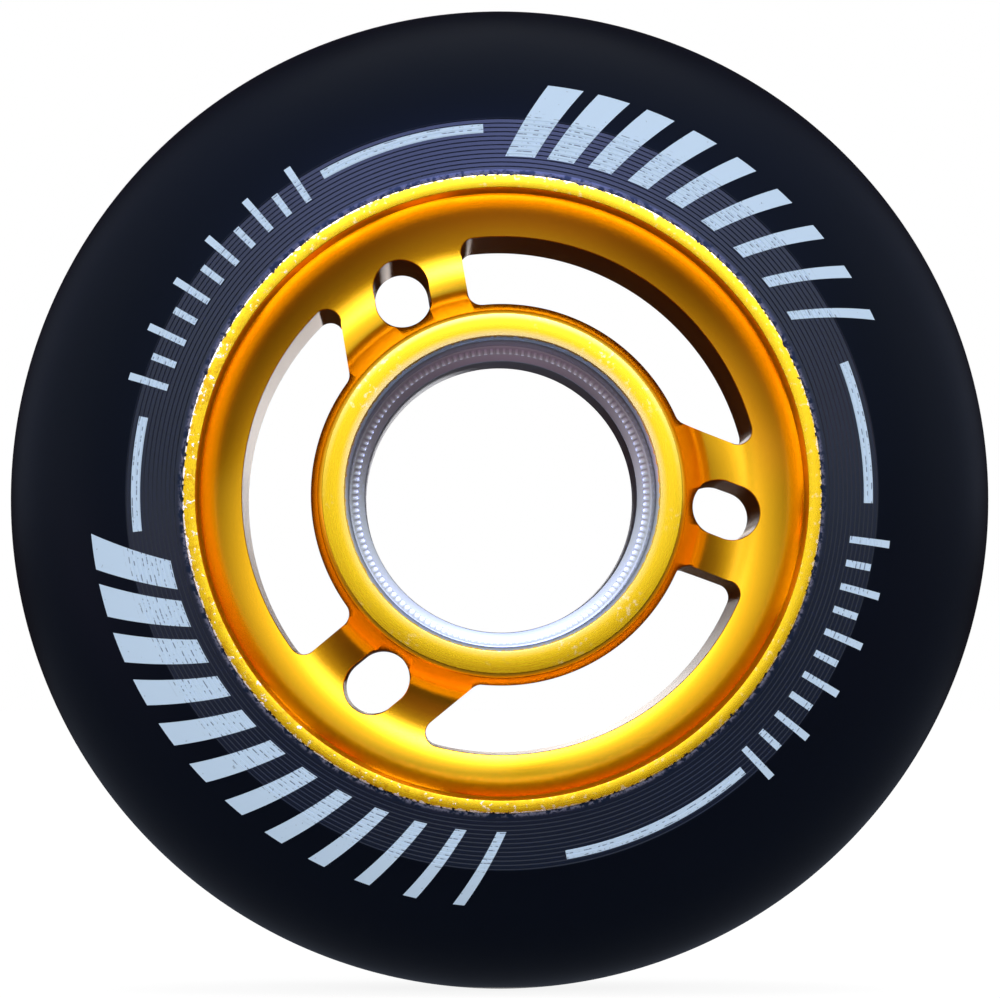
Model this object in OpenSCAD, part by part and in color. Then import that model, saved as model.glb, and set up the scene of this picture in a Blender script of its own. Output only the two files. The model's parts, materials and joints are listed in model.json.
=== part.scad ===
// Inline skate wheel: a cast tyre on a turned and milled aluminium core.
// The wheel spins about Y through the origin, Z is up, and the face seen first looks along -Y.

/* [Wheel] */
// Outside diameter of the tyre
wheel_d = 72; // [68:0.5:80]
// Width over the two boss faces
wheel_w = 24; // [22:0.5:28]

/* [Bearing seats] */
// Diameter of each bearing seat
seat_d = 22; // [20.5:0.1:24]
// Depth of each bearing seat below the boss face
seat_depth = 7; // [5:0.1:9]
// Diameter of the shoulder that the bearings stop against
shoulder_d = 19.8; // [16:0.1:20.2]
// Chamfer at the mouth of each seat
mouth_chamfer = 0.3; // [0.1:0.05:0.6]

/* [Boss] */
// Outside diameter of the boss
boss_d = 26.4; // [25.6:0.1:28]
// Chamfer round the boss face
boss_chamfer = 0.3; // [0.1:0.05:0.6]
// Radial width of the sloping foot between the boss wall and the channel's floor
foot_w = 1.4; // [0.5:0.1:2]
// Slope of that foot, in degrees from the boss face
foot_slope = 50; // [40:1:60]

/* [Rim] */
// Outside diameter of the rim, where the tyre begins
rim_d = 45.8; // [43:0.1:48]
// Width of the turned lip round the rim's face
lip_w = 0.95; // [0.6:0.05:1.5]
// How far the lip's inner wall leans in from its face to its foot
lip_lean = 0.25; // [0:0.05:0.6]
// Depth of the dished channel between the boss and the lip
channel_depth = 4.4; // [3:0.1:6]
// Radius of the channel's dished floor
channel_r = 5.5; // [5.4:0.1:10]

/* [Spokes] */
// Number of spokes
spoke_count = 3; // [2:1:4]
// Angle of the upper spoke's radial side, counted up from +X
spoke_angle = 99.5; // [0:0.5:120]
// Width of each parallel-sided spoke
spoke_w = 9.4; // [6:0.1:11]
// Land between the boss's edge and the windows
window_land = 0.55; // [0.3:0.05:1.5]
// Radial height of the windows, and length of the slots
window_h = 5; // [4.2:0.1:6]
// Radius of the windows' corners
window_corner_r = 1; // [0.5:0.1:2]
// Width of the round-ended slot in each spoke
slot_w = 4; // [2:0.1:4.2]

/* [Tyre] */
// How far the tyre's turned band lies below the rim's lip
band_drop = 0.15; // [0.05:0.05:0.5]
// How far the tyre's full curve would stand past the turned band
crown_rise = 1.05; // [0.5:0.05:3]
// Radial reach of the tyre's elliptical section
crown_reach = 15; // [12:0.5:16]

/* [Keying] */
// Number of keying grooves in the rim, under the tyre
key_count = 3; // [1:1:4]
// Distance from groove to groove
key_pitch = 5; // [4:0.1:5.5]
// Width of each groove
key_w = 2.4; // [1:0.1:3]
// Depth of each groove
key_depth = 1; // [0.5:0.1:1.5]

/* [Hidden] */
$fn = 128;

// How far the straight pieces of an arc may lie inside it
arc_sag = 0.01;
// Straight pieces in the tyre's crown
crown_parts = 36;
// How far the cutters run past the faces that they cut
cut_past = 1;

// Heights are counted from the wheel's middle plane towards a face
face_z = wheel_w / 2;
seat_floor_z = face_z - seat_depth;
band_z = face_z - band_drop;

seat_r = seat_d / 2;
shoulder_r = shoulder_d / 2;
boss_r = boss_d / 2;
rim_r = rim_d / 2;
key_r = rim_r - key_depth;
lip_r = rim_r - lip_w;
channel_mid_r = (boss_r + lip_r) / 2;
channel_centre = [channel_mid_r, face_z - channel_depth + channel_r];
channel_in_turn = asin((channel_mid_r - boss_r - foot_w) / channel_r);
channel_out_turn = asin((lip_r - lip_lean - channel_mid_r) / channel_r);
foot_z = channel_centre[1] - channel_r * cos(channel_in_turn) + foot_w * tan(foot_slope);

window_in_r = boss_r + window_land;
window_out_r = window_in_r + window_h;
window_mid_r = (window_in_r + window_out_r) / 2;
spoke_turn = 360 / spoke_count;
slot_reach = sqrt(pow(window_mid_r, 2) - pow(spoke_w / 2, 2));

// The crown is the part of an ellipse that the two turned bands leave
crown_half_w = band_z + crown_rise;
crown_mid_r = wheel_d / 2 - crown_reach;
crown_end = asin(band_z / crown_half_w);

// Points along an arc about a centre
function arc(centre, r, from, to) =
    let (n = ceil(abs(to - from) / (2 * acos(1 - arc_sag / r))), turn = (to - from) / n)
    [for (i = [0:n]) centre + r * [cos(from + i * turn), sin(from + i * turn)]];

// The same points on the other side of the middle plane, in the opposite order
function other_side(points) =
    [for (i = [len(points) - 1:-1:0]) [points[i][0], -points[i][1]]];

// Dished floor of the channel, from the boss's sloping foot out to the foot of the lip
channel = arc(channel_centre, channel_r, 270 - channel_in_turn, 270 + channel_out_turn);

// Keying grooves down the rim's outside, from the front face to the back
keys = [
    for (k = [0:key_count - 1])
    let (z = key_pitch * ((key_count - 1) / 2 - k))
    for (p = [[rim_r, key_w], [key_r, key_w], [key_r, -key_w], [rim_r, -key_w]])
    [p[0], z + p[1] / 2]
];

// Front half of the core's section, from the shoulder to the rim
core_front = concat(
    [
        [shoulder_r, seat_floor_z],
        [seat_r, seat_floor_z],
        [seat_r, face_z - mouth_chamfer],
        [seat_r + mouth_chamfer, face_z],
        [boss_r - boss_chamfer, face_z],
        [boss_r, face_z - boss_chamfer],
        [boss_r, foot_z]
    ],
    channel,
    [[lip_r, face_z], [rim_r, face_z]]
);

// Crown of the tyre's section, from the back band to the front band
crown = [
    for (i = [0:crown_parts])
    let (t = crown_end * (2 * i / crown_parts - 1))
    [crown_mid_r + crown_reach * cos(t), crown_half_w * sin(t)]
];

// Centre of a corner's arc: so far from the axle, and so far to the left of a radial line
function corner(r, line, left) =
    let (along = sqrt(pow(r, 2) - pow(left, 2)))
    [along * cos(line) - left * sin(line), along * sin(line) + left * cos(line)];

function bearing_of(p) = atan2(p[1], p[0]);

// Outline of one window, clockwise of a radial spoke side that lies along +X.
// Its other end runs along the parallel far side of the spoke before.
module window() {
    c = window_corner_r;
    before = -spoke_turn;
    near_out = corner(window_out_r - c, 0, -c);
    near_in = corner(window_in_r + c, 0, -c);
    far_in = corner(window_in_r + c, before, spoke_w + c);
    far_out = corner(window_out_r - c, before, spoke_w + c);
    polygon(concat(
        arc([0, 0], window_out_r, bearing_of(far_out), bearing_of(near_out)),
        arc(near_out, c, bearing_of(near_out), 90),
        arc(near_in, c, 90, bearing_of(near_in) + 180),
        arc([0, 0], window_in_r, bearing_of(near_in), bearing_of(far_in)),
        arc(far_in, c, bearing_of(far_in) + 180, before + 270),
        arc(far_out, c, before + 270, bearing_of(far_out) + 360)
    ));
}

// Round-ended slot along the middle of the spoke whose radial side lies along +X
module slot() {
    end_x = (window_h - slot_w) / 2;
    translate([slot_reach, spoke_w / 2])
        polygon(concat(
            arc([end_x, 0], slot_w / 2, -90, 90),
            arc([-end_x, 0], slot_w / 2, 90, 270)
        ));
}

// Turns a shape made about Z so that its top is the face that looks along -Y
module on_axle() {
    rotate([90, 0, 0])
        children();
}

// Aluminium hub: boss with bearing seats, swept spokes, dished channel and keyed rim
module core() {
    color("goldenrod")
        on_axle()
            difference() {
                rotate_extrude()
                    polygon(concat(core_front, keys, other_side(core_front)));
                linear_extrude(height = wheel_w + 2 * cut_past, center = true)
                    for (k = [0:spoke_count - 1])
                        rotate(spoke_angle + k * spoke_turn) {
                            window();
                            slot();
                        }
            }
}

// Polyurethane tyre, cast round the keyed rim and turned flat on both sides
module tyre() {
    color([0.07, 0.08, 0.11])
        on_axle()
            rotate_extrude()
                polygon(concat([[rim_r, band_z]], keys, [[rim_r, -band_z]], crown));
}

core();
tyre();
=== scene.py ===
# %% [markdown]
# # Inline skate wheel
# A gold anodised aluminium core with a black polyurethane tyre cast round it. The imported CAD
# model gives the true sizes, and this script dresses it: finer meshes with the marks of the
# lathe, the finishes, the ink on the tyre and a small studio. Blender works in metres. The wheel
# spins about Y, Z is up, and the face in the picture looks along -Y.

import json
import math

import bmesh
import bpy
from mathutils import Matrix, Vector


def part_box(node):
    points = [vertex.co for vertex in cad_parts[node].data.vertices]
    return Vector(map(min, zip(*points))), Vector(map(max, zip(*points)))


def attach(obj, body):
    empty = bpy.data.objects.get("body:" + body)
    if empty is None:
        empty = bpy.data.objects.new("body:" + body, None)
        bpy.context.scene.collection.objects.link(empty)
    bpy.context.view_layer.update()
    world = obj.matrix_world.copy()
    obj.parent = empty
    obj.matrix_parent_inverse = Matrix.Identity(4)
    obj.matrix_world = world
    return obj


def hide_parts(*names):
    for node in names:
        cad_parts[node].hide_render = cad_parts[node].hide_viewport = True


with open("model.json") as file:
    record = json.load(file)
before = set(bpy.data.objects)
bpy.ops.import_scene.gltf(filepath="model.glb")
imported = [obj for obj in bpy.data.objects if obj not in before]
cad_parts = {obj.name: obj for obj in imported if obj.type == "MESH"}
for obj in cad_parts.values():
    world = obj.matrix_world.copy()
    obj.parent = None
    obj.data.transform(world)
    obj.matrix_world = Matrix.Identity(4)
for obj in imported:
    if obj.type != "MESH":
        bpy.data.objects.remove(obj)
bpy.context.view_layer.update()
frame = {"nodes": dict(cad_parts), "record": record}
print("CAD nodes:", sorted(frame["nodes"]))

# %% [markdown]
# ## Camera
# The wheel was photographed almost square on, from 0.4 m, with the lens a little below and to
# the left of the axle. So short a distance matters: it is why the walls of the windows show on
# one side only. The lens makes the tyre fill the frame as it does in the picture.

# %% Camera
CAMERA_DISTANCE = 0.400
CAMERA_AZIMUTH = math.radians(-0.8)
CAMERA_ELEVATION = math.radians(-1.95)
CAMERA_LENS = 195.3

towards_camera = Vector((
    math.sin(CAMERA_AZIMUTH) * math.cos(CAMERA_ELEVATION),
    -math.cos(CAMERA_AZIMUTH) * math.cos(CAMERA_ELEVATION),
    math.sin(CAMERA_ELEVATION),
))
camera = bpy.data.objects.new("camera", bpy.data.cameras.new("camera"))
camera.data.lens = CAMERA_LENS
camera.data.clip_start = 0.01
camera.location = towards_camera * CAMERA_DISTANCE
camera.rotation_euler = towards_camera.to_track_quat("Z", "Y").to_euler()
bpy.context.scene.collection.objects.link(camera)
bpy.context.scene.camera = camera
print("camera at", [round(c, 4) for c in camera.location])

# %% [markdown]
# ## Sizes
# The outside sizes come from the boxes of the two CAD nodes and the bearing seat from its mount.
# The rest repeats the drawing, in millimetres: a radius is counted from the axle, and a height
# from the wheel's middle plane towards a face.

# %% Sizes
MM = 0.001
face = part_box("core")[1].y / MM
rim_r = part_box("core")[1].x / MM
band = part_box("tyre")[1].y / MM
tyre_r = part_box("tyre")[1].x / MM
mounts = {m["name"]: m["dims"] for m in frame["record"]["mounts"]}
seat_r = mounts["front_bearing_seat"]["r_mm"]
shoulder_r = mounts["spacer_bore"]["r_mm"]
seat_floor = mounts["spacer_bore"]["length_mm"] / 2

MOUTH_CHAMFER = 0.3
BOSS_R = 13.2
BOSS_CHAMFER = 0.3
FOOT_W = 1.4
FOOT_SLOPE = math.radians(50)
LIP_R = 21.95
LIP_LEAN = 0.15
CHANNEL_DEPTH = 4.4
CHANNEL_R = 5.5
KEY_R = 21.9
KEY_W = 2.4
KEY_PITCH = 5.0
channel_mid_r = (BOSS_R + LIP_R) / 2
foot_r = BOSS_R + FOOT_W
lip_foot_r = LIP_R - LIP_LEAN
print(f"rim {rim_r:.2f}, tyre {tyre_r:.2f}, face {face:.2f}, band {band:.2f}, seat {seat_r} mm")

# %% [markdown]
# ## Turning a section
# Both pieces come off a lathe, so each is half a section, drawn as a line of points, that is
# rounded at its corners, spun about the axle and mirrored to the other face. A vertex bevel on a
# bare line rounds a corner before there is any surface, which is far lighter than a bevel on
# the finished ring. A full spin needs `use_merge`, or its last ring only lies on its first.

# %% Turning helpers
AXLE = Vector((0, -1, 0))  # angles count up from +X towards +Z, as they are seen in the picture
CORNER_PARTS = 5
WELD = 1e-7


def line_of(section):
    """A bmesh line through (radius, height, corner round) points, its corners rounded."""
    bm = bmesh.new()
    verts = [bm.verts.new((r * MM, -h * MM, 0)) for r, h, _ in section]
    for a, b in zip(verts, verts[1:]):
        bm.edges.new((a, b))
    rounds = [(v, corner) for v, (_, _, corner) in zip(verts, section) if corner]
    for size in sorted({corner for _, corner in rounds}):
        bmesh.ops.bevel(
            bm, geom=[v for v, corner in rounds if corner == size], offset=size * MM,
            offset_type="OFFSET", segments=CORNER_PARTS, profile=0.5, affect="VERTICES",
            material=-1,
        )
    return bm


def turn(bm, steps):
    """Spins the line of half a section into a closed ring, with both faces alike."""
    bmesh.ops.spin(
        bm, geom=bm.verts[:] + bm.edges[:], cent=(0, 0, 0), axis=AXLE, dvec=(0, 0, 0),
        angle=math.tau, steps=steps, use_merge=True,
    )
    everything = bm.verts[:] + bm.edges[:] + bm.faces[:]
    bmesh.ops.mirror(bm, geom=everything, matrix=Matrix(), merge_dist=WELD, axis="Y")
    bmesh.ops.remove_doubles(bm, verts=bm.verts, dist=WELD)
    bmesh.ops.recalc_face_normals(bm, faces=bm.faces)


def radius_of(v):
    return math.hypot(v.co.x, v.co.z) / MM


def smooth(mesh, sharp_angle):
    mesh.shade_smooth()
    mesh.set_sharp_from_angle(angle=math.radians(sharp_angle))


def piece(name, bm, sharp_angle):
    """An object at the origin from a bmesh, smooth but for edges sharper than an angle."""
    mesh = bpy.data.meshes.new(name)
    bm.to_mesh(mesh)
    bm.free()
    smooth(mesh, sharp_angle)
    made = bpy.data.objects.new(name, mesh)
    bpy.context.scene.collection.objects.link(made)
    return made


# %% [markdown]
# ## Core: the turned blank
# The section runs from the bore, over the shoulder and the bearing seat, across the boss face,
# through the dished channel and over the lip to the keyed outside that the tyre holds on to.
# The channel's floor is an arc. It meets the boss in a sloping foot and the lip in a wall that
# leans a little, and these slopes decide what the channel mirrors. The boss face and the shoulder
# each fall by a hair, because a quite flat ring mirrors one spot of the room all the way round.

# %% Core section
CHANNEL_PARTS = 36
FLOOR_FIRST = 3  # the foot's round takes the place of the floor points before this one
FOOT_ROUND = 0.5
WALL_ROUND = 0.1
EDGE_BREAK = 0.05
FACE_FALL = 0.015
SHOULDER_FALL = 0.36
NOTCH_IN_R = 10.46
NOTCH_OUT_R = 10.78
NOTCH_SIDE = 0.06


def channel_floor(r):
    """Height of the channel at a radius, over the boss's sloping foot and the floor."""
    if r < foot_r:
        return channel_floor(foot_r) + (foot_r - r) * math.tan(FOOT_SLOPE)
    sag = CHANNEL_R - math.sqrt(CHANNEL_R**2 - (r - channel_mid_r) ** 2)
    return face - CHANNEL_DEPTH + sag


def shoulder(r):
    """Height of the shoulder, which falls a little from the seat to the bore."""
    return seat_floor - SHOULDER_FALL * (seat_r - r) / (seat_r - shoulder_r)


notch_radii = [NOTCH_IN_R - NOTCH_SIDE * i for i in (2, 1, 0)]
notch_radii += [NOTCH_OUT_R + NOTCH_SIDE * i for i in (0, 1, 2)]
channel_radii = [
    foot_r + (lip_foot_r - foot_r) * i / CHANNEL_PARTS
    for i in range(FLOOR_FIRST, CHANNEL_PARTS)
]
core_section = [
    (shoulder_r, 0, 0),
    (shoulder_r, shoulder(shoulder_r), EDGE_BREAK),
    *((r, shoulder(r), 0) for r in notch_radii),
    (seat_r, seat_floor, 0),
    (seat_r, face - MOUTH_CHAMFER, EDGE_BREAK),
    (seat_r + MOUTH_CHAMFER, face, EDGE_BREAK),
    (BOSS_R - BOSS_CHAMFER, face - FACE_FALL, EDGE_BREAK),
    (BOSS_R, face - BOSS_CHAMFER, EDGE_BREAK),
    (BOSS_R, channel_floor(BOSS_R), WALL_ROUND),
    (foot_r, channel_floor(foot_r), FOOT_ROUND),
    *((r, channel_floor(r), 0) for r in channel_radii),
    (lip_foot_r, channel_floor(lip_foot_r), WALL_ROUND),
    (LIP_R, face, EDGE_BREAK),
    (rim_r, face, EDGE_BREAK),
    (rim_r, KEY_PITCH + KEY_W / 2, 0),
    (KEY_R, KEY_PITCH + KEY_W / 2, 0),
    (KEY_R, KEY_PITCH - KEY_W / 2, 0),
    (rim_r, KEY_PITCH - KEY_W / 2, 0),
    (rim_r, KEY_W / 2, 0),
    (KEY_R, KEY_W / 2, 0),
    (KEY_R, 0, 0),
]
print(len(core_section), "points in half of the core's section")

# %% [markdown]
# ## Core: chatter on the shoulders
# The shoulder that a bearing stops against carries a ring of small even notches, left by a tool
# that rang as it cut. The spin has a whole number of steps for each notch, so pressing in every
# third vertex of two rings makes them as real dents.

# %% Turn the core
NOTCHES = 146
STEPS_PER_NOTCH = 3
NOTCH_DEPTH = 0.05
CORE_STEPS = NOTCHES * STEPS_PER_NOTCH
CORE_SHARP = 24
NEAR = 1e-3

core_bm = line_of(core_section)
turn(core_bm, CORE_STEPS)
pressed = 0
for v in core_bm.verts:
    r = radius_of(v)
    on_shoulder = abs(abs(v.co.y) / MM - shoulder(r)) < NEAR
    in_ring = min(abs(r - NOTCH_IN_R), abs(r - NOTCH_OUT_R)) < NEAR
    step = round(math.atan2(v.co.z, v.co.x) / math.tau * CORE_STEPS)
    if on_shoulder and in_ring and step % STEPS_PER_NOTCH == 0:
        v.co.y -= math.copysign(NOTCH_DEPTH * MM, v.co.y)
        pressed += 1
core = piece("hub_core", core_bm, CORE_SHARP)
print(pressed // 4, "notches on each shoulder,", len(core.data.polygons), "faces")

# %% [markdown]
# ## Core: windows and slots
# Between the boss and the rim the mill leaves three swept spokes, each with a round-ended slot.
# One side of a spoke is radial, and the other lies parallel to it, so the windows between them
# are not symmetric. A prism cut through the blank would leave knife edges. The cutter here is
# extruded in layers that flare at the channel's floor, so the cut leaves a broken edge. Each
# vertex carries its own place on the outline and the way outwards as custom data, which an
# extrusion copies, so a layer only has to say its height and how far it stands out.

# %% Outlines of a window and a slot
SPOKES = 3
SPOKE_ANGLE = 99.5
SPOKE_W = 9.4
WINDOW_IN_R = 13.75
WINDOW_OUT_R = 18.75
WINDOW_CORNER = 1.0
SLOT_W = 4.0
ARC_PITCH = 0.15
spoke_turn = 360 / SPOKES
window_h = WINDOW_OUT_R - WINDOW_IN_R
window_mid_r = (WINDOW_IN_R + WINDOW_OUT_R) / 2


def polar(r, degrees):
    return Vector((math.cos(math.radians(degrees)), math.sin(math.radians(degrees)))) * r


def bearing(p):
    return math.degrees(math.atan2(p.y, p.x))


def arc(centre, r, start, end):
    """Points along an arc, about as far apart as the pitch."""
    parts = max(6, math.ceil(abs(math.radians(end - start)) * r / ARC_PITCH))
    return [centre + polar(r, start + (end - start) * i / parts) for i in range(parts + 1)]


def corner_at(r, line, left):
    """The point at a radius that lies so far to the left of a radial line."""
    return polar(math.sqrt(r * r - left * left), line) + polar(left, line + 90)


def window_outline():
    c, before, axle = WINDOW_CORNER, -spoke_turn, Vector((0, 0))
    near_out = corner_at(WINDOW_OUT_R - c, 0, -c)
    near_in = corner_at(WINDOW_IN_R + c, 0, -c)
    far_in = corner_at(WINDOW_IN_R + c, before, SPOKE_W + c)
    far_out = corner_at(WINDOW_OUT_R - c, before, SPOKE_W + c)
    return (
        arc(axle, WINDOW_OUT_R, bearing(far_out), bearing(near_out))
        + arc(near_out, c, bearing(near_out), 90)
        + arc(near_in, c, 90, bearing(near_in) + 180)
        + arc(axle, WINDOW_IN_R, bearing(near_in), bearing(far_in))
        + arc(far_in, c, bearing(far_in) + 180, before + 270)
        + arc(far_out, c, before + 270, bearing(far_out) + 360)
    )


def slot_outline():
    middle = Vector((math.sqrt(window_mid_r**2 - SPOKE_W**2 / 4), SPOKE_W / 2))
    end = Vector(((window_h - SLOT_W) / 2, 0))
    return (
        arc(middle + end, SLOT_W / 2, -90, 90)
        + arc(middle - end, SLOT_W / 2, 90, 270)
    )


print(len(window_outline()), "points round a window,", len(slot_outline()), "round a slot")

# %% Cutter with flared mouths
MOUTH_BREAK = 0.05
PAST_FACE = 1.0


def cutter_of(bm, outline, layers):
    """Extrudes an outline through layers of (height at a radius, how far it stands out)."""
    place = bm.verts.layers.float_vector["place"]
    outwards = bm.verts.layers.float_vector["outwards"]
    kept = [p for p, q in zip(outline, outline[1:] + outline[:1]) if (p - q).length > 1e-6]
    rim = [bm.verts.new((p.x * MM, 0, p.y * MM)) for p in kept]
    for before, v, after in zip(rim[-1:] + rim, rim, rim[1:] + rim[:1]):
        v[place] = v.co
        v[outwards] = (after.co - before.co).normalized().cross(AXLE)
    cap = bm.faces.new(rim)
    for number, (height_at, out) in enumerate(layers):
        if number:
            under = cap
            made = bmesh.ops.extrude_face_region(bm, geom=[cap])["geom"]
            cap = next(g for g in made if isinstance(g, bmesh.types.BMFace))
            if number > 1:
                bmesh.ops.delete(bm, geom=[under], context="FACES_ONLY")
        for v in cap.verts:
            v.co = v[place] + v[outwards] * out * MM
            v.co.y = -height_at(radius_of(v)) * MM


flare = 2 * MOUTH_BREAK
cutter_layers = [
    (lambda r: -face - PAST_FACE, flare),
    (lambda r: -channel_floor(r) - MOUTH_BREAK, flare),
    (lambda r: -channel_floor(r) + MOUTH_BREAK, 0),
    (lambda r: channel_floor(r) - MOUTH_BREAK, 0),
    (lambda r: channel_floor(r) + MOUTH_BREAK, flare),
    (lambda r: face + PAST_FACE, flare),
]
cutter_bm = bmesh.new()
cutter_bm.verts.layers.float_vector.new("place")
cutter_bm.verts.layers.float_vector.new("outwards")
cutter_of(cutter_bm, window_outline(), cutter_layers)
cutter_of(cutter_bm, slot_outline(), cutter_layers)
bmesh.ops.rotate(
    cutter_bm, verts=cutter_bm.verts, cent=(0, 0, 0),
    matrix=Matrix.Rotation(math.radians(SPOKE_ANGLE), 3, AXLE),
)
bmesh.ops.spin(
    cutter_bm, geom=cutter_bm.verts[:] + cutter_bm.edges[:] + cutter_bm.faces[:],
    cent=(0, 0, 0), axis=AXLE, dvec=(0, 0, 0), use_duplicate=True,
    angle=math.radians(spoke_turn * (SPOKES - 1)), steps=SPOKES - 1,
)
bmesh.ops.recalc_face_normals(cutter_bm, faces=cutter_bm.faces)
cutter = piece("window_cutter", cutter_bm, CORE_SHARP)
print(len(cutter.data.polygons), "faces in the cutter")

# %% Cut the windows
cut = core.modifiers.new("windows", "BOOLEAN")
cut.operation = "DIFFERENCE"
cut.solver = "EXACT"
cut.object = cutter
cut_core = core.evaluated_get(bpy.context.evaluated_depsgraph_get())
blank = core.data
core.data = bpy.data.meshes.new_from_object(cut_core)
core.modifiers.clear()
bpy.data.meshes.remove(blank)
bpy.data.meshes.remove(cutter.data)
smooth(core.data, CORE_SHARP)
print(len(core.data.polygons), "faces in the cut core")

# %% [markdown]
# ## Tyre
# The tyre's side is turned flat in a band beside the core, and the tool's feed leaves a fine
# thread of rings there. Past the band the cast crown swells to the tread as part of an ellipse.
# The rings are real ridges, because they catch the light differently all the way round: each
# falls outwards slowly and comes back steeply, so the upper half faces the lamp and shines.

# %% Tyre section
GROOVES = 12
GROOVE_FIRST_R = 23.2
GROOVE_DEPTH = 0.06
GROOVE_PARTS = 4
GROOVE_FALL = 0.75
CROWN_RISE = 1.05
CROWN_REACH = 15.0
CROWN_PARTS = 44
crown_half_w = band + CROWN_RISE
crown_mid_r = tyre_r - CROWN_REACH
crown_end = math.asin(band / crown_half_w)
band_end_r = crown_mid_r + CROWN_REACH * math.cos(crown_end)
groove_pitch = (band_end_r - GROOVE_FIRST_R) / GROOVES


def tyre_side(r):
    """Height of the tyre's side at a radius, over the turned band and the crown."""
    if r > band_end_r:
        return crown_half_w * math.sqrt(max(0, 1 - ((r - crown_mid_r) / CROWN_REACH) ** 2))
    turns = max(0, (r - GROOVE_FIRST_R) / groove_pitch) % 1
    return band - GROOVE_DEPTH * min(turns / GROOVE_FALL, (1 - turns) / (1 - GROOVE_FALL))


groove_radii = [
    GROOVE_FIRST_R + groove_pitch * i / GROOVE_PARTS for i in range(GROOVES * GROOVE_PARTS)
]
crown_angles = [crown_end * (1 - i / CROWN_PARTS) for i in range(CROWN_PARTS + 1)]
tyre_section = [
    (KEY_R, 0, 0),
    (KEY_R, KEY_W / 2, 0),
    (rim_r, KEY_W / 2, 0),
    (rim_r, KEY_PITCH - KEY_W / 2, 0),
    (KEY_R, KEY_PITCH - KEY_W / 2, 0),
    (KEY_R, KEY_PITCH + KEY_W / 2, 0),
    (rim_r, KEY_PITCH + KEY_W / 2, 0),
    (rim_r, band, 0),
    *((r, tyre_side(r), 0) for r in groove_radii),
    *(
        (crown_mid_r + CROWN_REACH * math.cos(t), crown_half_w * math.sin(t), 0)
        for t in crown_angles
    ),
]
TYRE_STEPS = 360
TYRE_SHARP = 40
tyre_bm = line_of(tyre_section)
turn(tyre_bm, TYRE_STEPS)
tyre = piece("cast_tyre", tyre_bm, TYRE_SHARP)
print(len(tyre.data.polygons), "faces in the tyre")

# %% [markdown]
# ## Shader sums
# A finish is easier to read as arithmetic than as wiring. `Value` wraps one socket, and each
# operator on it adds one Math node. Every other node comes from `Finish.node`, which sets the
# node's own settings first and then its sockets, by a value or by a link.

# %% Finish helpers
class Value:
    """A shader socket that takes part in Python sums."""

    def __init__(self, finish, socket):
        self.finish = finish
        self.socket = socket

    def maths(self, operation, a, b=0.0):
        return self.finish.node("Math", {"operation": operation}, {0: a, 1: b})

    def __add__(self, other):
        return self.maths("ADD", self, other)

    def __radd__(self, other):
        return self.maths("ADD", other, self)

    def __sub__(self, other):
        return self.maths("SUBTRACT", self, other)

    def __rsub__(self, other):
        return self.maths("SUBTRACT", other, self)

    def __mul__(self, other):
        return self.maths("MULTIPLY", self, other)

    def __rmul__(self, other):
        return self.maths("MULTIPLY", other, self)

    def __truediv__(self, other):
        return self.maths("DIVIDE", self, other)

    def __pow__(self, other):
        return self.maths("POWER", self, other)

    def __abs__(self):
        return self.maths("ABSOLUTE", self)


class Finish:
    """A node tree that is filled by one method."""

    def __init__(self, tree):
        self.tree = tree
        tree.nodes.clear()

    def node(self, kind, settings=None, sockets=None, out=0):
        made = self.tree.nodes.new("ShaderNode" + kind)
        for name, value in (settings or {}).items():
            if name == "stops":
                ramp = made.color_ramp
                while len(ramp.elements) < len(value):
                    ramp.elements.new(1.0)
                for element, (position, colour) in zip(ramp.elements, value):
                    element.position = position
                    element.color = (*colour, 1.0)
            else:
                setattr(made, name, value)
        for name, value in (sockets or {}).items():
            if isinstance(value, Value):
                self.tree.links.new(value.socket, made.inputs[name])
            else:
                made.inputs[name].default_value = value
        return Value(self, made.outputs[out]) if made.outputs else None

    def mask(self, value, low, high):
        """0 below low and 1 above high, or the other way round where low is the higher."""
        turned = low > high
        low, high = sorted((low, high))
        return self.node(
            "MapRange", {"interpolation_type": "SMOOTHSTEP"},
            {"Value": value, "From Min": low, "From Max": high,
             "To Min": float(turned), "To Max": float(not turned)},
        )

    def mix(self, share, a, b, blend="MIX"):
        """Colour a, and colour b by a share."""
        a, b = (c if isinstance(c, Value) else (*c, 1.0) for c in (a, b))
        settings = {"data_type": "RGBA", "blend_type": blend}
        return self.node("Mix", settings, {0: share, 6: a, 7: b}, out=2)

    def noise(self, vector, scale, detail=3.0, roughness=0.55):
        return self.node(
            "TexNoise", None,
            {"Vector": vector, "Scale": scale, "Detail": detail, "Roughness": roughness},
        )

    def bump(self, height, strength, distance):
        return self.node(
            "Bump", None, {"Height": height, "Strength": strength, "Distance": distance},
        )


def new_finish(name):
    material = bpy.data.materials.new(name)
    material.use_nodes = True
    return material, Finish(material.node_tree)


def around(finish):
    """Radius, height and the unit direction from the axle in mm, from Object coordinates."""
    place = finish.node("TexCoord", None, None, "Object")
    x, y, z = (finish.node("SeparateXYZ", None, {0: place}, out) for out in range(3))
    radius = (x * x + z * z) ** 0.5 / MM
    return radius, y / MM, x / MM / radius, z / MM / radius


def combined(finish, x, y, z):
    return finish.node("CombineXYZ", None, {0: x, 1: y, 2: z})


# %% [markdown]
# ## Print
# A pad presses ink on to the tyre's side: four plain arcs, two rows of slanted bars that grow
# thinner, and two short scales of ticks. A mask in the tyre's finish would blur at the edges when
# it is baked, so the ink is a thin film of its own. Each patch starts as a line that follows the
# turned rings, and a short spin sweeps it along the tyre. The back carries the same print.

# %% Ink film
INK_LIFT = 0.012
INK_THICKNESS = 0.02
crown_radii = [crown_mid_r + CROWN_REACH * math.cos(t) for t in crown_angles]
side_radii = groove_radii + crown_radii


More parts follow.
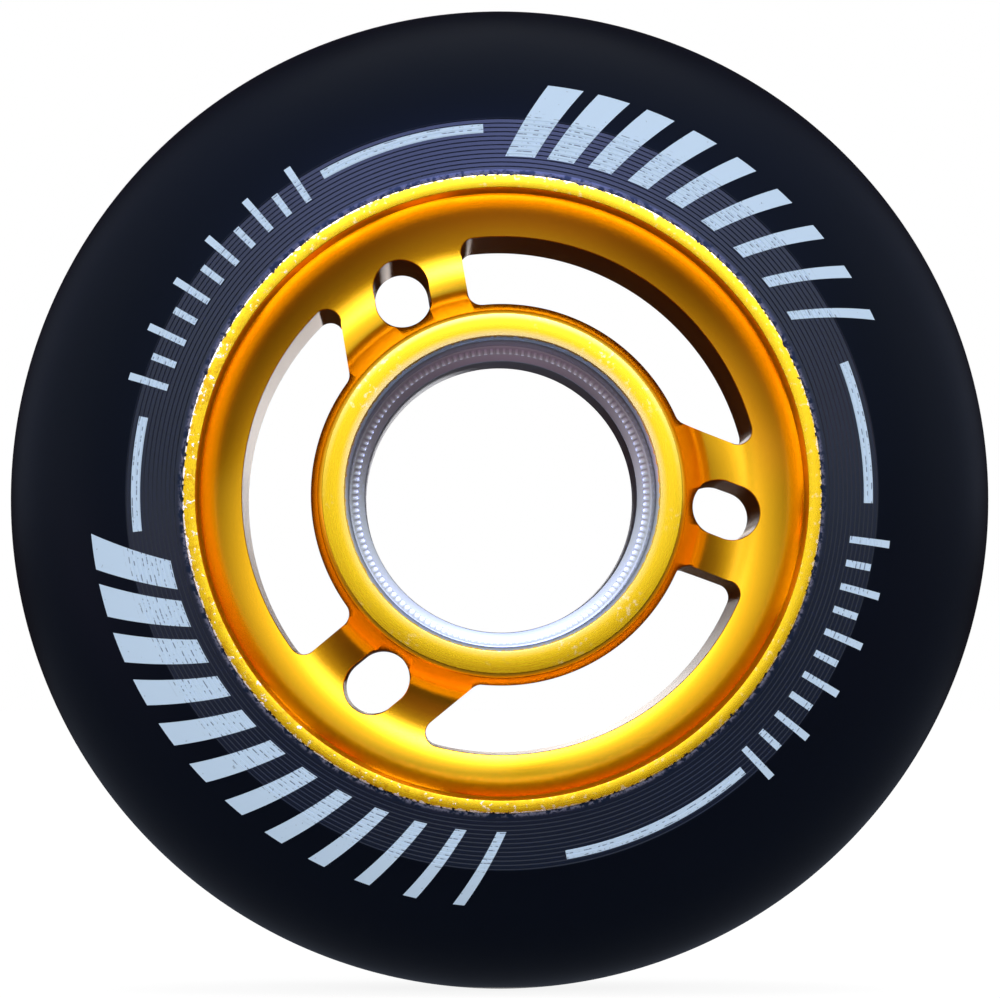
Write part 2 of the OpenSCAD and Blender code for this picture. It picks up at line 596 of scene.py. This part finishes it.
def lay_ink(bm, inner, outer, start, end):
    """One patch of ink on the front, between two radii in mm and two angles in degrees."""
    radii = [inner, *(r for r in side_radii if inner < r < outer), outer]
    verts = [bm.verts.new((r * MM, -(tyre_side(r) + INK_LIFT) * MM, 0)) for r in radii]
    edges = [bm.edges.new(ends) for ends in zip(verts, verts[1:])]
    first = Matrix.Rotation(math.radians(start), 3, AXLE)
    bmesh.ops.rotate(bm, verts=verts, cent=(0, 0, 0), matrix=first)
    bmesh.ops.spin(
        bm, geom=verts + edges, cent=(0, 0, 0), axis=AXLE, dvec=(0, 0, 0),
        angle=math.radians(end - start), steps=math.ceil(end - start),
    )


def print_of(name, patches, slant=0.0):
    """Both sides' film of one motif, leaning by so many degrees for each mm outwards."""
    bm = bmesh.new()
    for patch in patches:
        lay_ink(bm, *patch)
    lean_r = patches[0][0]
    for v in bm.verts:
        v.co.rotate(Matrix.Rotation(math.radians(slant * (radius_of(v) - lean_r)), 3, AXLE))
    bmesh.ops.recalc_face_normals(bm, faces=bm.faces)
    bmesh.ops.solidify(bm, geom=bm.faces[:], thickness=INK_THICKNESS * MM)
    back = bmesh.ops.duplicate(bm, geom=bm.verts[:] + bm.edges[:] + bm.faces[:])["geom"]
    bmesh.ops.rotate(
        bm, verts=[g for g in back if isinstance(g, bmesh.types.BMVert)], cent=(0, 0, 0),
        matrix=Matrix.Rotation(math.pi, 3, "Z"),
    )
    bmesh.ops.recalc_face_normals(bm, faces=bm.faces)
    made = piece(name, bm, TYRE_SHARP)
    print(name, "has", len(made.data.polygons), "faces")
    return made


# %% Arcs, bars and ticks
ARC_IN_R, ARC_OUT_R = 25.9, 26.55
ARCS = ((93, 119.5), (-1.5, 21), (280, 311), (168, 186))
BAR_IN_R, BAR_OUT_R = 24.2, 29.6
BAR_SLANT = -1.1
BAR_ROWS = ((87, -1, 9), (194, 1, 12))  # first angle, way round and number of bars
BAR_PITCH = 6.9
BAR_WIDEST, BAR_THINNEST = 5.0, 1.6
TICK_IN_R, TICK_OUT_R = 25.1, 28.0
TICK_SHORT = 1.1
TICK_ROWS = (123.5, 313.5)
TICKS = 11
TICK_PITCH = 3.9
TICK_WIDTH = 1.1

bars = []
for first, way, number in BAR_ROWS:
    for i in range(number):
        width = BAR_WIDEST + (BAR_THINNEST - BAR_WIDEST) * i / (number - 1)
        middle = first + way * BAR_PITCH * i
        bars.append((BAR_IN_R, BAR_OUT_R, middle - width / 2, middle + width / 2))
ticks = []
for first in TICK_ROWS:
    for i in range(TICKS):
        start = first + TICK_PITCH * i - TICK_WIDTH / 2
        ticks.append((TICK_IN_R, TICK_OUT_R - TICK_SHORT * (i % 2), start, start + TICK_WIDTH))
prints = [
    print_of("print_arcs", [(ARC_IN_R, ARC_OUT_R, *arc_ends) for arc_ends in ARCS]),
    print_of("print_bars", bars, BAR_SLANT),
    print_of("print_ticks", ticks),
]

# %% [markdown]
# ## Gold anodising
# Dyed oxide on aluminium looks like coloured metal under a thin clear skin, so the shader is
# fully metallic with a coat, which also lets the brightest highlights go pale. An image could
# hold the wear, but noise needs no unwrapping: two scales of it are kept in their places by masks
# of radius, height and direction. First come these masks.

# %% Gold: places
WORN_SIDE = math.radians(205)
LEAST_WORN = 0.2
FACE_EDGE = 0.03
LIP_EDGE = 0.1
anodised, f = new_finish("gold_anodised")
place = f.node("TexCoord", None, None, "Object")
radius, height, east, north = around(f)
rings = f.noise(combined(f, east * 6, radius * 9, north * 6), 1.0, 4.0)
specks = f.noise(place, 2600.0, 3.0)
blots = f.noise(place, 1300.0, 4.0, 0.7)
on_face = f.mask(abs(height), face - FACE_FALL - FACE_EDGE, face - FACE_FALL)
on_lip = on_face * f.mask(radius, LIP_R - LIP_EDGE, LIP_R)
on_boss = on_face - on_lip
on_wall = f.mask(abs(radius - (lip_foot_r + LIP_R) / 2), 0.18, 0.10) * (1 - on_face)
upper = f.mask(north, -0.2, 0.6)
towards_worn = east * math.cos(WORN_SIDE) + north * math.sin(WORN_SIDE)
worn = LEAST_WORN + (1 - LEAST_WORN) * f.mask(towards_worn, -0.2, 0.8)
print(len(f.tree.nodes), "nodes say where the gold wears")

# %% [markdown]
# The faces are paler than the channel. Along its two edges the boss face carries painted
# highlights, pale glints that are strongest towards the top, and it is scuffed in a few patches.
# The tool that trimmed the tyre has nicked the lip down to metal, most of all on one side, and it
# has bitten into the lip's outer edge and left that ragged.

# %% Gold: wear and painted glints
GOLD = (0.95, 0.50, 0.003)
GOLD_PALE = (0.78, 0.50, 0.006)
GOLD_DARK = (0.50, 0.19, 0.002)
SCRAPED = (0.92, 0.86, 0.62)
PALE_SCUFF_AND_GLINT = (0.88, 0.74, 0.30)
BITTEN = (0.012, 0.014, 0.020)
colour = f.mix(on_face, GOLD, GOLD_PALE)
# Painted highlight: pale glints along the boss face's inner and outer edges, strongest towards
# the top, where the light falls.
edge_glint = f.mask(radius, seat_r + 0.9, seat_r + 0.3) * (0.2 + upper * 0.35)
edge_glint = edge_glint + f.mask(radius, BOSS_R - 0.75, BOSS_R - 0.4) * upper * 0.2
colour = f.mix(on_boss * edge_glint, colour, PALE_SCUFF_AND_GLINT)
colour = f.mix(on_lip * worn * f.mask(blots, 0.50, 0.40) * 0.4, colour, GOLD_DARK)
scuffed = f.mask(f.noise(place, 170.0, 1.0), 0.50, 0.62) * f.mask(specks, 0.55, 0.66)
# The same pale colour, at random, stands for the real scuffs on the boss face.
colour = f.mix(on_boss * scuffed * 0.5, colour, PALE_SCUFF_AND_GLINT)
nicks = f.mask(specks, 0.60, 0.68) * on_lip * worn
colour = f.mix(nicks * 0.7, colour, SCRAPED)
edge = f.mask(radius + (specks - 0.5) * 0.6 + worn * 0.06, rim_r - 0.09, rim_r - 0.01)
colour = f.mix(edge * (0.3 + 0.7 * worn), colour, SCRAPED)
bitten = f.mask(radius + (0.5 - specks) * 0.9, rim_r - 0.04, rim_r + 0.02)
colour = f.mix(bitten, colour, BITTEN)
print(len(f.tree.nodes), "nodes with the wear")

# %% [markdown]
# The bore was machined after the bath, so it is bare metal. The notches on its shoulder are real
# dents, and the shader paints a glint on each, a brighter dot at the same count and radii:
# painted highlights, as the dents catch the light. The lip's inner wall is rougher than the rest,
# as a plunging tool leaves it.
# The walls of the windows took the same dye, and need no finish of their own: seen at a shallow
# angle they mirror the room behind the wheel, which is dark, so most of them look nearly black.

# %% Gold: bare bore and shader
BARE = (0.55, 0.60, 0.64)
BARE_GLINT = (0.80, 0.86, 0.92)
bare = f.mask(radius + (specks - 0.5) * 0.3, seat_r + 0.27, seat_r + 0.2)
turned = east.maths("ARCTAN2", north, east)
# Painted highlight: a bright glint on every notch of the shoulder.
notch_glint = f.mask(turned.maths("COSINE", turned * NOTCHES), -0.2, 0.7)
notch_glint = notch_glint * f.mask(abs(radius - (NOTCH_IN_R + NOTCH_OUT_R) / 2), 0.26, 0.14)
colour = f.mix(bare, colour, f.mix(notch_glint * 0.8, BARE, BARE_GLINT))
rough = 0.22 + on_face * 0.05 + bare * 0.08 + on_wall * 0.25 + (rings - 0.5) * 0.06
relief = rings * (0.4 - on_face * 0.34) + (nicks - 1) * on_lip * worn * blots
shader = f.node("BsdfPrincipled", None, {
    "Base Color": colour, "Metallic": 1.0, "Roughness": rough,
    "Normal": f.bump(relief, 0.15, 0.00003),
    "Coat Weight": 0.25 - on_face * 0.13, "Coat Roughness": 0.12, "Coat IOR": 1.6,
})
f.node("OutputMaterial", None, {"Surface": shader})
core.data.materials.clear()
core.data.materials.append(anodised)
print(anodised.name, "has", len(f.tree.nodes), "nodes")

# %% [markdown]
# ## Polyurethane
# Black urethane has a faint blue cast and a satin skin. It is a dielectric, so its gloss comes
# from the shader's own reflection and its colour stays dark. The turned band shines more than
# the cast crown, so it gets a coat. Beside the lip the trimming tool has dragged the urethane
# into a dull grey fringe.

# %% Polyurethane finish
URETHANE = (0.0021, 0.0029, 0.0060)
URETHANE_CUT = (0.004, 0.009, 0.022)
URETHANE_TORN = (0.15, 0.15, 0.21)
urethane, f = new_finish("black_urethane")
place = f.node("TexCoord", None, None, "Object")
radius, *_ = around(f)
cloud = f.noise(place, 220.0, 3.0)
grain = f.noise(place, 2400.0, 3.0)
cut_band = f.mask(radius, band_end_r + 0.1, band_end_r - 0.1)
torn = f.mask(radius + (grain - 0.5) * 0.9, rim_r + 0.34, rim_r + 0.16)
colour = f.mix(cut_band, URETHANE, URETHANE_CUT)
shader = f.node("BsdfPrincipled", None, {
    "Base Color": f.mix(torn * f.mask(grain, 0.42, 0.62), colour, URETHANE_TORN),
    "Roughness": 0.42 - cut_band * 0.12 + (cloud - 0.5) * 0.1,
    "Normal": f.bump(grain, 0.08, 0.00002),
    "Specular IOR Level": 0.10, "Specular Tint": (0.46, 0.66, 1.0, 1.0),
    "Coat Weight": cut_band * 0.65 * (1 - torn * 0.8), "Coat Roughness": 0.25, "Coat IOR": 1.5,
})
f.node("OutputMaterial", None, {"Surface": shader})
tyre.data.materials.append(urethane)
print(urethane.name, "has", len(f.tree.nodes), "nodes")

# %% [markdown]
# ## Ink
# The ink is a pale blue white. A pad can't press it down into every turned ring, so rows of
# small gaps follow the rings, and a few pinholes lie all over.

# %% Ink finish
INK = (0.45, 0.58, 0.735)
INK_GAP = (0.065, 0.08, 0.13)
ink, f = new_finish("pale_ink")
place = f.node("TexCoord", None, None, "Object")
radius, _, east, north = around(f)
turns = (radius - GROOVE_FIRST_R) / groove_pitch
row = turns.maths("COSINE", turns * math.tau)
dabs = f.noise(combined(f, east * 75, turns, north * 75), 1.0, 1.0)
gaps = f.mask(row, -0.55, -0.9) * f.mask(dabs, 0.50, 0.60)
gaps = gaps * f.mask(radius, band_end_r + 0.6, band_end_r)
pinholes = f.mask(f.noise(place, 3200.0, 2.0), 0.70, 0.76)
shader = f.node("BsdfPrincipled", None, {
    "Base Color": f.mix(gaps * 0.8 + pinholes * 0.5, INK, INK_GAP),
    "Roughness": 0.6, "Specular IOR Level": 0.25,
})
f.node("OutputMaterial", None, {"Surface": shader})
for made in prints:
    made.data.materials.append(ink)
print(ink.name, "on", [made.name for made in prints])

# %% [markdown]
# ## Studio
# The picture has a pure white ground, yet the metal mirrors a dim room with one large soft lamp.
# So the world and the floor are white where they are seen, and the wheel stands in an open pot
# of dark felt that only reflections meet. The floor is paper that keeps the wheel's shadow.

# %% White world
DIFFUSE_WORLD = 0.71
scene = bpy.context.scene
scene.view_settings.view_transform = "Standard"


def seen_share(f):
    """1 for the rays that show the background: from the camera, a mirror or clear matter."""
    rays = ("Is Camera Ray", "Is Glossy Ray", "Is Transmission Ray")
    camera_ray, glossy, through = (f.node("LightPath", None, None, ray) for ray in rays)
    return camera_ray + glossy + through


world = bpy.data.worlds.new("studio")
world.use_nodes = True
scene.world = world
f = Finish(world.node_tree)
strength = DIFFUSE_WORLD + seen_share(f) * (1 - DIFFUSE_WORLD)
f.node("OutputWorld", None, {
    "Surface": f.node("Background", None, {"Color": (1, 1, 1, 1), "Strength": strength}),
})
print("world:", world.name, "with", DIFFUSE_WORLD, "of its light on matt surfaces")

# %% Paper floor
FLOOR_HALF = 4.0
STAGE_SHARP = 30
PAPER = (0.95, 0.95, 0.95, 1)
PAPER_GLOW = 1.1
GLOW_SHARE = 0.8
floor_bm = bmesh.new()
bmesh.ops.create_grid(floor_bm, x_segments=1, y_segments=1, size=FLOOR_HALF)
bmesh.ops.translate(floor_bm, verts=floor_bm.verts, vec=(0, 0, -tyre_r * MM))
floor = piece("floor", floor_bm, STAGE_SHARP)
paper, f = new_finish("white_paper")
plain = f.node("BsdfDiffuse", None, {"Color": PAPER})
glow = f.node("Emission", None, {"Color": (1, 1, 1, 1), "Strength": PAPER_GLOW})
f.node("OutputMaterial", None, {
    "Surface": f.node("MixShader", None, {0: seen_share(f) * GLOW_SHARE, 1: plain, 2: glow}),
})
floor.data.materials.append(paper)
print("floor at", round(floor.data.vertices[0].co.z, 4), "m")

# %% Felt pot
POT_R = 1.0
POT_TOP = 1.7
POT_SIDES = 48
POT_LIFT = 0.0002
felt_bm = bmesh.new()
bmesh.ops.create_circle(felt_bm, cap_ends=True, segments=POT_SIDES, radius=POT_R)
bmesh.ops.translate(felt_bm, verts=felt_bm.verts, vec=(0, 0, -tyre_r * MM + POT_LIFT))
wall = bmesh.ops.extrude_edge_only(felt_bm, edges=felt_bm.edges[:])["geom"]
bmesh.ops.translate(
    felt_bm, verts=[g for g in wall if isinstance(g, bmesh.types.BMVert)], vec=(0, 0, POT_TOP),
)
felt_pot = piece("felt_pot", felt_bm, STAGE_SHARP)
felt_pot.visible_camera = False
felt_pot.visible_diffuse = False
felt_pot.visible_shadow = False
felt_pot.visible_transmission = False
print("felt pot:", len(felt_pot.data.polygons), "faces")

# %% [markdown]
# The felt glows as a lamp behind a diffuser would light it: hot and bluish in the middle, then
# falling off slowly to the sides. Powers of the cosine between a direction and the lamp's give
# that fall. It is dimmer near the ground, under the ceiling and in a strip left of the camera,
# and an even ring of grey stands at the sides.

# %% Felt: glow of the lamp
LAMP_AZIMUTH = math.radians(-1)
LAMP_ELEVATION = math.radians(21)
ROOM, SOFT, WARM_SPOT, HOT_SPOT = 0.35, 1.1, 0.8, 9.0
SOFT_FALL, WARM_FALL, HOT_FALL = 3, 20, 60
LOW_LIGHT = 0.72
CEILING_LOSS = 0.4
STRIP_LOSS = 0.45
RING = 0.9
felt, f = new_finish("graded_felt")
place = f.node("TexCoord", None, None, "Object")
across, away, up = (f.node("SeparateXYZ", None, {0: place}, out) for out in range(3))
distance = (across * across + away * away + up * up) ** 0.5
lamp_towards = (
    math.sin(LAMP_AZIMUTH) * math.cos(LAMP_ELEVATION),
    -math.cos(LAMP_AZIMUTH) * math.cos(LAMP_ELEVATION),
    math.sin(LAMP_ELEVATION),
)
cosine = (across * lamp_towards[0] + away * lamp_towards[1] + up * lamp_towards[2]) / distance
cosine = cosine.maths("MAXIMUM", cosine, 0.0)
hot = HOT_SPOT * cosine**HOT_FALL
level = ROOM + SOFT * cosine**SOFT_FALL + WARM_SPOT * cosine**WARM_FALL + hot
hot_share = hot / level
level = level * (LOW_LIGHT + (1 - LOW_LIGHT) * f.mask(up, 0.05, 0.35))
level = level * (1 - CEILING_LOSS * f.mask(up, 0.9, 1.5))
strip = f.mask(across, 0.005, -0.025) * f.mask(across, -0.25, -0.12)
level = level * (1 - STRIP_LOSS * strip)
aside = f.mask(away / distance, -0.48, -0.40)
level = level + (RING - level) * aside
print("lamp towards", [round(c, 3) for c in lamp_towards])

# %% [markdown]
# The ground is darker and warmer than the felt wall, in uneven tones from left to right, and it
# falls into shade under the wheel.

# %% Felt: ground
GROUND_WARM = (1.0, 0.78, 0.85)
GROUND_NEAR = (1.15, 0.65, 0.92)
GROUND_SHADE = (0.22, 0.25, 0.32)
GROUND_SPAN = 0.2
GROUND_TONES = (
    (0.10, 1.35), (0.25, 0.75), (0.34, 0.50), (0.44, 0.70), (0.50, 0.65), (0.57, 0.42),
    (0.63, 0.28), (0.80, 0.25), (1.00, 0.40),
)
HOT_BLUE = (0.9, 1.05, 3.0)
SKY_BLUE = (0.85, 1.0, 1.6)
tone = f.node(
    "ValToRGB", {"stops": [(at, (t, t, t)) for at, t in GROUND_TONES]},
    {0: across / GROUND_SPAN + 0.5},
)
warm = f.mix(f.mask(away, -0.12, -0.03), GROUND_WARM, GROUND_NEAR)
ground = f.mix(1.0, tone, warm, "MULTIPLY")
ground = f.mix(f.mask(away, -0.040, -0.022), ground, GROUND_SHADE)
colour = f.mix(f.mask(up, 0.6, 1.5), (1, 1, 1), SKY_BLUE)
colour = f.mix(hot_share, colour, HOT_BLUE)
colour = f.mix(f.mask(up, 0.0, -0.034), colour, ground)
print(len(GROUND_TONES), "tones on the ground")

# %% [markdown]
# Behind the wheel, where only the walls of the windows and of the bore look, the room is nearly
# black but for one bright doorway and a skylight over it. They are cut to the few spots that the
# pale walls mirror, and the dark walls look past them.

# %% Felt: room behind
BACK_BROWN = (0.018, 0.006, 0.003)
BACK_DUSK = (0.45, 0.50, 0.65)
DOORWAY = (2.4, 2.4, 2.5)
behind = f.mask(away, 0.05, 0.15)
back = f.mix(f.mask(abs(across), 0.5, 0.85), BACK_BROWN, BACK_DUSK)
doorway = f.mask(across + up * 0.6, 0.020, 0.030) * f.mask(across, 0.064, 0.054)
doorway = doorway * f.mask(up + across * 0.5, 0.062, 0.052) * f.mask(up, -0.030, -0.024)
skylight = f.mask(up, 0.065, 0.075) * f.mask(up, 0.16, 0.10) * f.mask(abs(across), 0.03, 0.02)
back = f.mix(doorway + skylight, back, DOORWAY)
colour = f.mix(behind, colour, back)
colour = f.mix(1.0, colour, behind + level * (1 - behind), "MULTIPLY")
glow = f.node("Emission", None, {"Color": colour, "Strength": 1.0})
f.node("OutputMaterial", None, {"Surface": glow})
felt_pot.data.materials.append(felt)
print(felt.name, "has", len(f.tree.nodes), "nodes")

# %% [markdown]
# Two lamps light what is matt: a key from the front, about where the felt is hottest, and a wide
# one overhead. They are kept out of the mirrors, where the felt stands for them.

# %% Lamps
def lamp(name, place, size, watts):
    """A rectangular lamp that faces the wheel."""
    made = bpy.data.objects.new(name, bpy.data.lights.new(name, "AREA"))
    made.data.shape = "RECTANGLE"
    made.data.size, made.data.size_y = size
    made.data.energy = watts
    made.location = place
    made.rotation_euler = Vector(place).to_track_quat("Z", "Y").to_euler()
    made.visible_camera = False
    made.visible_glossy = False
    scene.collection.objects.link(made)


lamp("key", place=(0.05, -0.80, 0.30), size=(0.62, 0.38), watts=1.65)
lamp("overhead", place=(0.0, 0.0, 1.3), size=(1.2, 1.2), watts=6.0)

# %% [markdown]
# ## Hand the pieces to the frame
# Each piece rides on the wheel's one body, and the core and the tyre stand for their CAD nodes.

# %% Ride and finish
for made, node in ((core, "core"), (tyre, "tyre")):
    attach(made, "root")
    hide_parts(node)
for made in prints:
    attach(made, "root")
